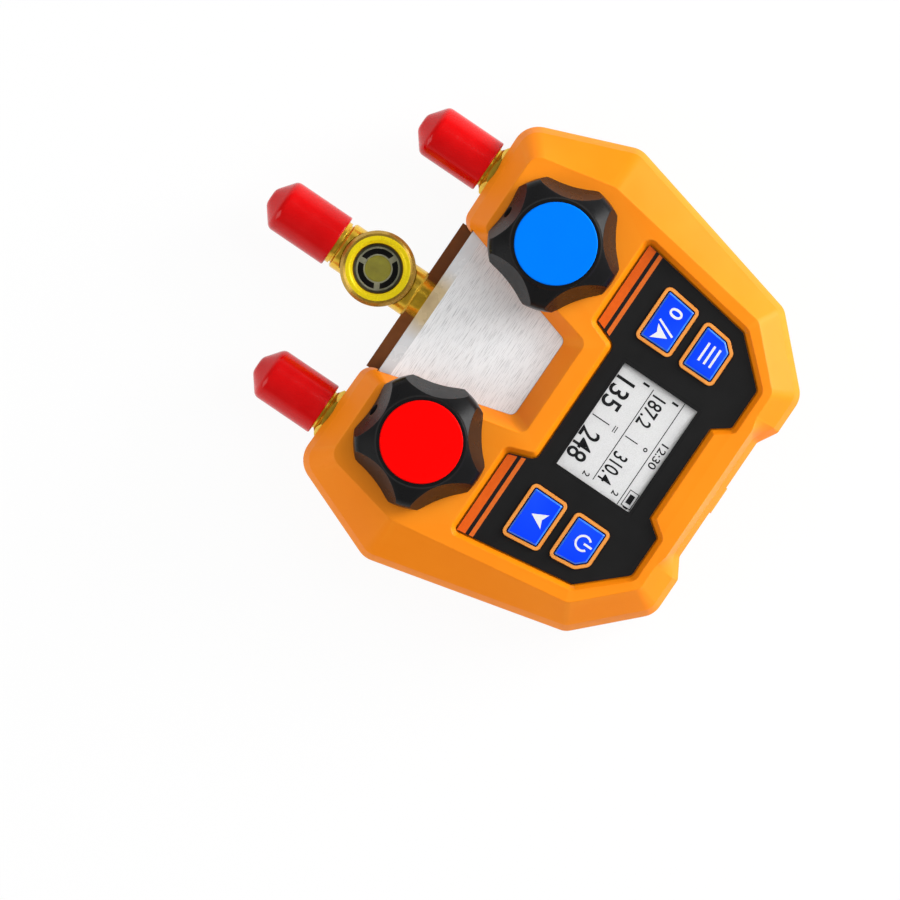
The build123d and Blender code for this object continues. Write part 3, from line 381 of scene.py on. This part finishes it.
PRINTS = {
    "display_ink": ((0.003, 0.003, 0.004), (0.007, 0.007, 0.008)),
    "print_broad": ((0.72, 0.105, 0.003), (0.78, 0.125, 0.005)),
    "print_narrow": ((0.68, 0.130, 0.012), (0.76, 0.155, 0.018)),
    "print_white": ((0.76, 0.77, 0.80), (0.82, 0.82, 0.84)),
}

ALONG_Y = (90, 2600, 90)  # tool rings of a bar that lies along Y

LOOKS = {
    **{name: plastic(name, *values) for name, values in PLASTICS.items()},
    **{name: plain(name, *values) for name, values in PLAIN.items()},
    **{name: flat_print(name, *values) for name, values in PRINTS.items()},
    "clear_window": clear("clear_window", (0.99, 0.99, 0.99), 1.08),
    "sight_lens": clear("sight_lens", (0.98, 0.99, 0.96), 1.3),
    "display_grey": display_grey(),
    "block_aluminium": block_aluminium(),
    "block_bevel": block_bevel(),
    "brass": turned_metal("brass", (0.78, 0.46, 0.02), (1.0, 0.66, 0.05), (1.0, 0.80, 0.18),
                          (0.16, 0.24), ALONG_Y, rubbed=0.1, metal=0.72),
    # darker copy of brass for the bezel's rounded rim: painted shade
    "brass_edge_painted_shade": turned_metal("brass_edge_painted_shade", (0.42, 0.24, 0.03), (0.60, 0.38, 0.05),
                               (0.8, 0.55, 0.12), (0.22, 0.30), (300, 300, 2600),
                               tarnish=260, rubbed=0.1, metal=0.6),
    "bezel_brass": bezel_brass(),
    "screw_steel": steel("screw_steel", (300, 300, 1500)),
    "sensor_steel": steel("sensor_steel", ALONG_Y),
    "hook_wire": steel("hook_wire", (2600, 300, 300)),
    "cap_red": cap_red(),
    "disc_blue": disc("disc_blue", (0.0, 0.185, 0.97), (0.0, 0.195, 1.0), (0.0, 0.24, 1.0)),
    "disc_red": disc("disc_red", (0.95, 0.0, 0.0), (1.0, 0.0, 0.0), (1.0, 0.012, 0.010)),
}

OWN_LOOKS = {"sight_glass_bezel": "bezel_brass", "sight_glass_seal": "gasket_olive"}


def dress_nodes():
    """Gives every solid the material of its slot, or its own."""
    for part in frame["record"]["subparts"]:
        node = frame["nodes"][part["node"]]
        node.data.materials.clear()
        node.data.materials.append(LOOKS[OWN_LOOKS.get(part["node"], part["material_slot"])])


def paint_faces(name, look, chosen):
    """Gives a second material to the faces of a solid that a test picks by centre and normal."""
    mesh = frame["nodes"][name].data
    mesh.materials.append(LOOKS[look])
    for face in mesh.polygons:
        if chosen(face.center / MM, face.normal):
            face.material_index = len(mesh.materials) - 1


def from_sight(point):
    """Distance of a point from the axis of the sight glass."""
    return math.hypot(point.x, point.y - SIGHT_Y)


def key_rim(c, n):
    """Orange frame round a key, on either side of the display."""
    return (PLATE_TOP < c.z < RIM_OVER and RIMS_X[0] < abs(c.x) < RIMS_X[1]
            and RIMS_Y[0] < c.y < RIMS_Y[1])


def lower_lip(c, n):
    """Lip of the rear cover below the block, painted a darker brown as shade."""
    return abs(c.x) < LIP_HALF and LIP_Y[0] < c.y < LIP_Y[1]


def in_chamber(c, n):
    """Floor and wall of the sight glass chamber, painted near black as shade."""
    return (from_sight(c) < CHAMBER_R and CHAMBER_LOW < c.z < CHAMBER_TOP
            and n.z > LOOKS_DOWN)


def lens_seat(c, n):
    """Ring that the sight glass lies on."""
    return (LENS_SEAT_R[0] < from_sight(c) < LENS_SEAT_R[1] and c.z < CHAMBER_TOP
            and n.z > LOOKS_UP)


def bezel_edge(c, n):
    """Rounded and upright faces of the bezel's rim, painted a darker brass as shade."""
    return from_sight(c) > BEZEL_R - BEZEL_EDGE and n.z < BEZEL_FLAT


def block_cut(c, n):
    """Sloping cut along the block's foot."""
    return CUT_ALONG_Y[0] < n.y < CUT_ALONG_Y[1] and n.z > LOOKS_UP


def key_edge_painted_sheen(c, n):
    """Rounded edge of a key's top, painted a lighter blue as sheen."""
    return KEY_ROUNDING[0] < n.z < KEY_ROUNDING[1]


KEYS = ("upper_left", "upper_right", "lower_left", "lower_right")

dress_nodes()
paint_faces("front_cover", "rim_orange", key_rim)
# painted shade on the lower lip
paint_faces("rear_cover", "lip_painted_shade", lower_lip)
# painted shade in the sight glass chamber
paint_faces("port_body_centre", "chamber_painted_shade", in_chamber)
# painted shade on the bezel's rim
paint_faces("sight_glass_bezel", "brass_edge_painted_shade", bezel_edge)
paint_faces("port_body_centre", "gasket_olive", lens_seat)
# painted reflection of the brass on the block's cut
paint_faces("manifold_block", "block_bevel", block_cut)
# painted sheen on the keys' rounded edges
for place in KEYS:
    paint_faces(f"key_{place}", "key_edge_painted_sheen", key_edge_painted_sheen)
for pane in ("display_window", "sight_glass_lens"):
    frame["nodes"][pane].visible_shadow = False  # clear panes let the lamps through


# Pieces that lie on the face


def piece(name, mesh, look, body):
    """New object from a mesh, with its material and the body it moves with."""
    thing = bpy.data.objects.new(name, mesh)
    bpy.context.scene.collection.objects.link(thing)
    mesh.materials.clear()
    mesh.materials.append(LOOKS[look])
    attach(thing, body)
    return thing


def plate_mesh(name, outlines, low, high):
    """Flat plates from outlines in millimetres, between two heights in millimetres."""
    made = bmesh.new()
    for outline in outlines:
        lower = [made.verts.new((x * MM, y * MM, low * MM)) for x, y in outline]
        upper = [made.verts.new((x * MM, y * MM, high * MM)) for x, y in outline]
        made.faces.new(upper)
        made.faces.new(lower[::-1])
        for i in range(len(outline)):
            j = (i + 1) % len(outline)
            made.faces.new((lower[i], lower[j], upper[j], upper[i]))
    bmesh.ops.recalc_face_normals(made, faces=made.faces)
    mesh = bpy.data.meshes.new(name)
    made.to_mesh(mesh)
    made.free()
    return mesh


def bar(x0, y0, x1, y1):
    return [(x0, y0), (x1, y0), (x1, y1), (x0, y1)]


def stroke(x0, y0, x1, y1, width):
    """Straight stroke of a width between two points."""
    length = math.hypot(x1 - x0, y1 - y0)
    dx, dy = -(y1 - y0) / length * width / 2, (x1 - x0) / length * width / 2
    return [(x0 + dx, y0 + dy), (x0 - dx, y0 - dy), (x1 - dx, y1 - dy), (x1 + dx, y1 + dy)]


def frame_bars(x0, y0, x1, y1, width):
    """Four bars inside the edges of a rectangle."""
    return [bar(x0, y0, x1, y0 + width), bar(x0, y1 - width, x1, y1),
            bar(x0, y0 + width, x0 + width, y1 - width),
            bar(x1 - width, y0 + width, x1, y1 - width)]


def arc(x, y, radius, start, end, steps=24):
    angles = [math.radians(start + (end - start) * i / steps) for i in range(steps + 1)]
    return [(x + radius * math.cos(a), y + radius * math.sin(a)) for a in angles]


def band(x, y, inner, outer, start, end):
    """Part of a flat ring."""
    return arc(x, y, outer, start, end) + arc(x, y, inner, end, start)


def arrowhead(x, y, up):
    """Notched arrow whose tip stands above or below its middle."""
    tip, foot, notch, half = 2.9, 2.4, 1.2, 2.75
    side = 1 if up else -1
    return [(x, y + side * tip), (x - half, y - side * foot),
            (x, y - side * notch), (x + half, y - side * foot)]


def figures(name, text, x0, y0, x1, y1, low):
    """Plain numbers that fill a rectangle, printed at a height in millimetres."""
    curve = bpy.data.curves.new(name, "FONT")
    curve.body = text
    curve.extrude = 0.5
    curve.offset = 0.012
    curve.resolution_u = 6
    thing = bpy.data.objects.new(name, curve)
    mesh = bpy.data.meshes.new_from_object(thing)
    bpy.data.objects.remove(thing)
    bpy.data.curves.remove(curve)
    left, right = (pick(v.co.x for v in mesh.vertices) for pick in (min, max))
    foot, head = (pick(v.co.y for v in mesh.vertices) for pick in (min, max))
    for v in mesh.vertices:
        v.co.x = (x0 + (v.co.x - left) / (right - left) * (x1 - x0)) * MM
        v.co.y = (y0 + (v.co.y - foot) / (head - foot) * (y1 - y0)) * MM
        v.co.z = (low + (v.co.z + 0.5) * PRINT_THICK) * MM
    mesh.name = name
    return mesh


def printed(name, outlines, level, look, body):
    """Thin print on a surface at a height in millimetres."""
    piece(name, plate_mesh(name, outlines, level, level + PRINT_THICK), look, body)


# Stripes on the black plate: height of lower and upper edge, and the plate's two edges that their
# ends follow, each as its place at the plate's foot and its lean
STRIPES = {"broad": (26.1, 29.2), "narrow": (30.5, 32.0)}
STRIPE_FOOT = 25.8
STRIPE_INNER = (27.0, 0.36)
STRIPE_OUTER = (57.3, 0.16)


def stripe_outline(low, high):
    """Stripe from the plate's inner corner to its outer edge."""
    def along(edge, y):
        return edge[0] - (y - STRIPE_FOOT) * edge[1]

    return [(along(STRIPE_INNER, low), low), (along(STRIPE_OUTER, low), low),
            (along(STRIPE_OUTER, high), high), (along(STRIPE_INNER, high), high)]


def mirror_x(outline):
    return [(-x, y) for x, y in reversed(outline)]


for name, (low, high) in STRIPES.items():
    right = stripe_outline(low, high)
    printed(f"stripe_{name}", [right, mirror_x(right)], PLATE_TOP, f"print_{name}", "root")

x0, y0, x1, y1 = DISPLAY
border = frame_bars(x0 - PANE_EDGE, y0 - PANE_EDGE, x1 + PANE_EDGE, y1 + PANE_EDGE, PANE_EDGE)
printed("pane_border", border, PLATE_TOP, "plate_black", "root")

DISPLAY_LINES = [
    bar(-20.2, 65.45, 20.2, 65.75),
    bar(-18.2, 54.15, 18.0, 54.45),
    bar(-0.33, 55.1, 0.03, 60.1),
    bar(-0.33, 41.9, 0.03, 48.7),
    bar(14.9, 67.5, 18.2, 69.4),
    bar(19.6, 67.6, 20.0, 69.3),
    band(0.0, 63.3, 0.35, 0.75, 0, 359),
    bar(-1.2, 51.3, 1.2, 51.6),
    bar(-1.2, 50.5, 1.2, 50.8),
    *frame_bars(13.6, 66.6, 19.6, 70.3, 0.28),
]
DISPLAY_FIGURES = {
    "low_upper": ("187.2", -16.9, 55.0, -5.9, 60.3),
    "high_upper": ("310.4", 5.6, 55.0, 16.7, 60.3),
    "low_lower": ("135", -15.9, 41.4, -4.8, 48.6),
    "high_lower": ("248", 4.4, 41.4, 15.7, 48.6),
    "clock": ("12:30", -5.0, 66.7, 4.2, 69.5),
    "low_mark_upper": ("1", -18.6, 61.8, -17.8, 64.2),
    "high_mark_upper": ("2", 16.9, 61.8, 18.4, 64.2),
    "low_mark_lower": ("1", -18.6, 50.2, -17.8, 52.6),
    "high_mark_lower": ("2", 16.9, 50.2, 18.4, 52.6),
}
printed("display_lines", DISPLAY_LINES, DISPLAY_TOP, "display_ink", "root")
for name, (text, *box) in DISPLAY_FIGURES.items():
    mesh = figures(f"figures_{name}", text, *box, DISPLAY_TOP)
    piece(f"figures_{name}", mesh, "display_ink", "root")

KEY_MARKS = {
    "upper_right": [band(37.4, 63.6, 2.15, 2.9, 130, 410), bar(37.02, 63.9, 37.78, 67.0)],
    "lower_right": [arrowhead(38.8, 46.7, False)],
    "upper_left": [bar(-41.6, y - 0.4, -34.6, y + 0.4) for y in (61.0, 63.2, 65.4)],
    "lower_left": [arrowhead(-34.7, 45.5, True), stroke(-38.9, 42.7, -36.0, 49.6, 0.75)],
}
for place, outlines in KEY_MARKS.items():
    printed(f"mark_{place}", outlines, KEY_TOP, "print_white", f"{place}_key")
piece("mark_zero", figures("mark_zero", "0", -45.0, 43.9, -41.6, 48.6, KEY_TOP),
      "print_white", "lower_left_key")


# Cross recesses of the screws in the back, drawn as flat dark crosses of painted shade: reach of
# each arm from the middle
RECESS_REACH = {"case_screws": 1.5, "block_screws": 2.0, "battery_door_screw": 1.5}
ARM_WIDTH = 0.36  # share of the reach
HEAD_REACH = 5.0  # a face of one head lies closer than this to its first face
HEAD_LEVEL = 0.05  # faces this close to the lowest point belong to a head's end


def head_centres(name):
    """Middles of a node's screw heads, from its lowest faces that look down, in millimetres."""
    mesh = frame["nodes"][name].data
    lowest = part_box(name)[0].z + HEAD_LEVEL * MM
    heads = []  # one face's centre and the corners of all faces, for each head
    for face in mesh.polygons:
        if face.normal.z > HEAD_DOWN or face.center.z > lowest:
            continue
        near = [head for head in heads if (head[0] - face.center).length < HEAD_REACH * MM]
        if not near:
            near = [(face.center.copy(), [])]
            heads += near
        near[0][1].extend(mesh.vertices[i].co for i in face.vertices)
    return [[(max(p[k] for p in points) + min(p[k] for p in points)) / 2 / MM for k in range(3)]
            for _, points in heads]


def cross(x, y, reach, width):
    return [stroke(x - reach, y, x + reach, y, width),
            stroke(x, y - reach, x, y - width / 2, width),
            stroke(x, y + width / 2, x, y + reach, width)]


for name, reach in RECESS_REACH.items():
    centres = head_centres(name)
    outlines = [arm for x, y, z in centres for arm in cross(x, y, reach, reach * ARM_WIDTH)]
    level = centres[0][2]
    mesh = plate_mesh(f"recess_{name}", outlines, level - PRINT_THICK, level + PRINT_THICK)
    piece(f"recess_{name}", mesh, "recess_painted_shade", "root")


# Stage, lamps and camera


def lamp(name, place, size, power):
    """Square lamp aimed at the middle of the face."""
    data = bpy.data.lights.new(name, "AREA")
    data.size = size
    data.energy = power
    thing = bpy.data.objects.new(name, data)
    bpy.context.scene.collection.objects.link(thing)
    thing.location = place
    aim = Vector((0, 0, FACE_Z)) - thing.location
    thing.rotation_euler = aim.to_track_quat("-Z", "Y").to_euler()


def any_of(nodes, links, sockets):
    """Largest of several ray tests."""
    total = sockets[0]
    for socket in sockets[1:]:
        node = nodes.new("ShaderNodeMath")
        node.operation = "MAXIMUM"
        links.new(total, node.inputs[0])
        links.new(socket, node.inputs[1])
        total = node.outputs[0]
    return total


def world():
    """Even fill for matt surfaces, white for the eye; in gloss, white low down and dim overhead."""
    sky = bpy.data.worlds.new("studio")
    bpy.context.scene.world = sky
    sky.use_nodes = True
    nodes, links = sky.node_tree.nodes, sky.node_tree.links
    fill = nodes["Background"]
    fill.inputs["Color"].default_value = (1, 1, 1, 1)
    fill.inputs["Strength"].default_value = FILL
    eye = nodes.new("ShaderNodeBackground")
    eye.inputs["Color"].default_value = (1, 1, 1, 1)
    sheen = nodes.new("ShaderNodeBackground")
    place = nodes.new("ShaderNodeTexCoord")
    split = nodes.new("ShaderNodeSeparateXYZ")
    ramp = nodes.new("ShaderNodeMapRange")
    ramp.interpolation_type = "SMOOTHSTEP"
    limits = {"From Min": HORIZON_Z, "From Max": ZENITH_Z, "To Min": HORIZON, "To Max": ZENITH}
    for key, number in limits.items():
        ramp.inputs[key].default_value = number
    path = nodes.new("ShaderNodeLightPath")
    shiny = nodes.new("ShaderNodeMixShader")
    seen = nodes.new("ShaderNodeMixShader")
    links.new(place.outputs["Generated"], split.inputs[0])
    links.new(split.outputs["Z"], ramp.inputs["Value"])
    links.new(ramp.outputs["Result"], sheen.inputs["Strength"])
    kinds = ("Glossy", "Transmission")
    gloss = any_of(nodes, links, [path.outputs[f"Is {kind} Ray"] for kind in kinds])
    links.new(gloss, shiny.inputs[0])
    links.new(fill.outputs[0], shiny.inputs[1])
    links.new(sheen.outputs[0], shiny.inputs[2])
    links.new(path.outputs["Is Camera Ray"], seen.inputs[0])
    links.new(shiny.outputs[0], seen.inputs[1])
    links.new(eye.outputs[0], seen.inputs[2])
    links.new(seen.outputs[0], nodes["World Output"].inputs["Surface"])


def floor():
    """Pale floor just below the back, white to the eye and in gloss, that keeps a faint shadow."""
    made = bmesh.new()
    bmesh.ops.create_grid(made, x_segments=1, y_segments=1, size=FLOOR_SIZE)
    mesh = bpy.data.meshes.new("floor")
    made.to_mesh(mesh)
    made.free()
    thing = bpy.data.objects.new("floor", mesh)
    bpy.context.scene.collection.objects.link(thing)
    look = bpy.data.materials.new("floor")
    look.use_nodes = True
    nodes, links = look.node_tree.nodes, look.node_tree.links
    shader = nodes["Principled BSDF"]
    shader.inputs["Base Color"].default_value = (*FLOOR_COLOUR, 1)
    shader.inputs["Roughness"].default_value = 0.9
    shader.inputs["Specular IOR Level"].default_value = 0.0
    path = nodes.new("ShaderNodeLightPath")
    kinds = ("Camera", "Glossy", "Transmission")
    seen = any_of(nodes, links, [path.outputs[f"Is {kind} Ray"] for kind in kinds])
    share = nodes.new("ShaderNodeMath")
    share.operation = "MULTIPLY"
    share.inputs[1].default_value = FLOOR_WHITE
    white = nodes.new("ShaderNodeEmission")
    mix = nodes.new("ShaderNodeMixShader")
    links.new(seen, share.inputs[0])
    links.new(share.outputs[0], mix.inputs[0])
    links.new(shader.outputs[0], mix.inputs[1])
    links.new(white.outputs[0], mix.inputs[2])
    links.new(mix.outputs[0], nodes["Material Output"].inputs["Surface"])
    mesh.materials.append(look)
    thing.location.z = -FLOOR_GAP


def camera():
    """Straight down on the face, far away, at the picture's scale."""
    data = bpy.data.cameras.new("camera")
    data.type = "PERSP"
    data.sensor_width = SENSOR
    span = PHOTO_SIDE / PIXELS_PER_MM * MM
    data.lens = data.sensor_width * (VIEW_DISTANCE - FACE_Z) / span
    data.clip_start, data.clip_end = VIEW_CLIP
    thing = bpy.data.objects.new("camera", data)
    bpy.context.scene.collection.objects.link(thing)
    back = Vector((0, 0, 1))
    up = back.cross(VIEW_RIGHT)
    thing.rotation_mode = "QUATERNION"
    thing.rotation_quaternion = Matrix((VIEW_RIGHT, up, back)).transposed().to_quaternion()
    thing.location = (*VIEW_CENTRE, VIEW_DISTANCE)
    bpy.context.scene.camera = thing


world()
floor()
for name, values in LAMPS.items():
    lamp(name, *values)
camera()
bpy.context.scene.view_settings.view_transform = "Standard"
